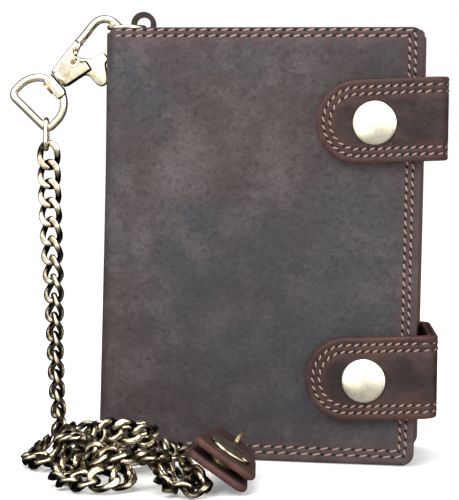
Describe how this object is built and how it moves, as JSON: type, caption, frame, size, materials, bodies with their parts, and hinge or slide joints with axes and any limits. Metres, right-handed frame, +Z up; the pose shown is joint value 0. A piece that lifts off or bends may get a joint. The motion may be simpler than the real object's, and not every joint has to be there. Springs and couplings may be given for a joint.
{
  "type": "chain wallet",
  "caption": "Upright bifold leather wallet with two snap straps, a swivel clasp on a D-ring, and a curb chain that ends in a leather belt loop.",
  "frame": {"origin": "middle of the front cover's bottom edge, in the middle of its leather", "axes": "+Z up along the covers' height, +X from the spine towards the free edge along the back cover, +Y from the front cover to the back cover"},
  "size_m": [0.1277, 0.0936, 0.1287],
  "materials": {
    "hide": "dark brown waxed leather, mottled",
    "strap_hide": "dark reddish brown waxed leather, burnished edges",
    "lining": "dark woven lining",
    "antique_brass": "antique brass, polished on the high spots",
    "snap_cap": "brushed antique brass",
    "dark_brass": "dark antique brass",
    "chain_brass": "antique brass with black recesses",
    "spring_steel": "spring steel",
    "clear_film": "clear plastic film"
  },
  "bodies": {
    "front": {"front_cover": "hide", "front_lining": "lining", "card_slot_1": "hide", "card_slot_2": "hide", "card_slot_3": "hide", "card_slot_4": "hide", "stud_upper": "dark_brass", "stud_lower": "dark_brass", "chain_run": "chain_brass", "chain_heap": "chain_brass", "end_ring": "antique_brass", "belt_loop": "strap_hide", "belt_loop_stud": "dark_brass"},
    "spine": {"spine_leather": "hide", "spine_lining": "lining", "ring_tab": "strap_hide"},
    "back": {"back_cover": "hide", "back_lining": "lining", "note_pocket": "hide", "coin_pocket": "hide", "coin_stud": "dark_brass", "strap_upper_anchor": "strap_hide", "strap_lower_anchor": "strap_hide"},
    "coin_flap": {"coin_flap": "hide", "coin_flap_cap": "snap_cap", "coin_flap_socket": "dark_brass"},
    "leaf": {"leaf_panel": "hide", "leaf_window": "clear_film", "leaf_back": "lining"},
    "strap_upper": {"strap_upper": "strap_hide", "strap_upper_lining": "lining", "strap_upper_cap": "snap_cap", "strap_upper_socket": "dark_brass"},
    "strap_lower": {"strap_lower": "strap_hide", "strap_lower_lining": "lining", "strap_lower_cap": "snap_cap", "strap_lower_socket": "dark_brass"},
    "tab_ring": {"tab_ring": "antique_brass"},
    "clasp": {"clasp_body": "antique_brass", "clasp_pin": "dark_brass", "swivel_rivet": "dark_brass"},
    "trigger": {"clasp_trigger": "antique_brass", "trigger_spring": "spring_steel"},
    "swivel": {"d_ring": "antique_brass", "top_link": "antique_brass"},
    "belt_flap": {"belt_flap": "strap_hide", "belt_flap_cap": "snap_cap", "belt_flap_socket": "dark_brass"}
  },
  "joints": [
    {"name": "cover_open", "type": "hinge", "parent": "front", "child": "spine", "pos_m": [-0.04484, 0.00775, 0], "axis": [0, 0, 1], "range_deg": [0, 85], "deforming": ["chain_run"]},
    {"name": "back_fold", "type": "hinge", "parent": "spine", "child": "back", "pos_m": [-0.04484, 0.02774, 0], "axis": [0, 0, 1], "range_deg": [0, 85]},
    {"name": "leaf_tilt", "type": "hinge", "parent": "spine", "child": "leaf", "pos_m": [-0.04164, 0.01425, 0], "axis": [0, 0, 1], "range_deg": [-3, 2.5]},
    {"name": "coin_flap_open", "type": "hinge", "parent": "back", "child": "coin_flap", "pos_m": [0, 0.02335, 0.0672], "axis": [-1, 0, 0], "range_deg": [0, 72.5]},
    {"name": "strap_upper_open", "type": "hinge", "parent": "back", "child": "strap_upper", "pos_m": [0.05015, -0.01222, 0.0987], "axis": [-0.0516, 0.0089, 0.9986], "range_deg": [0, 150]},
    {"name": "strap_lower_open", "type": "hinge", "parent": "back", "child": "strap_lower", "pos_m": [0.04818, -0.01187, 0.026], "axis": [-0.0516, 0.0089, 0.9986], "range_deg": [0, 150]},
    {"name": "ring_lift", "type": "hinge", "parent": "spine", "child": "tab_ring", "pos_m": [-0.03514, 0.01775, 0.1241], "axis": [0, 1, 0], "range_deg": [0, 20]},
    {"name": "clasp_swing", "type": "hinge", "parent": "tab_ring", "child": "clasp", "pos_m": [-0.04514, 0.01775, 0.1241], "axis": [0, 1, 0], "range_deg": [0, 20]},
    {"name": "trigger_press", "type": "hinge", "parent": "clasp", "child": "trigger", "pos_m": [-0.05554, 0.01775, 0.11391], "axis": [0, 1, 0], "range_deg": [0, 25], "stiffness_Nm_per_rad": 0.01, "springref_deg": -17.19, "deforming": ["trigger_spring"]},
    {"name": "ring_swivel", "type": "hinge", "parent": "clasp", "child": "swivel", "pos_m": [-0.06014, 0.01775, 0.1087], "axis": [0.7431, 0, 0.6691], "range_deg": [-20, 20]},
    {"name": "belt_flap_open", "type": "hinge", "parent": "front", "child": "belt_flap", "pos_m": [-0.01537, -0.03326, 0.01538], "axis": [-0.8245, 0.0867, 0.5592], "range_deg": [0, 75]}
  ],
  "couplings": [
    {"joint": "back_fold", "follows": "cover_open", "ratio": 1},
    {"joint": "coin_flap_open", "follows": "cover_open", "ratio": 0.85}
  ]
}
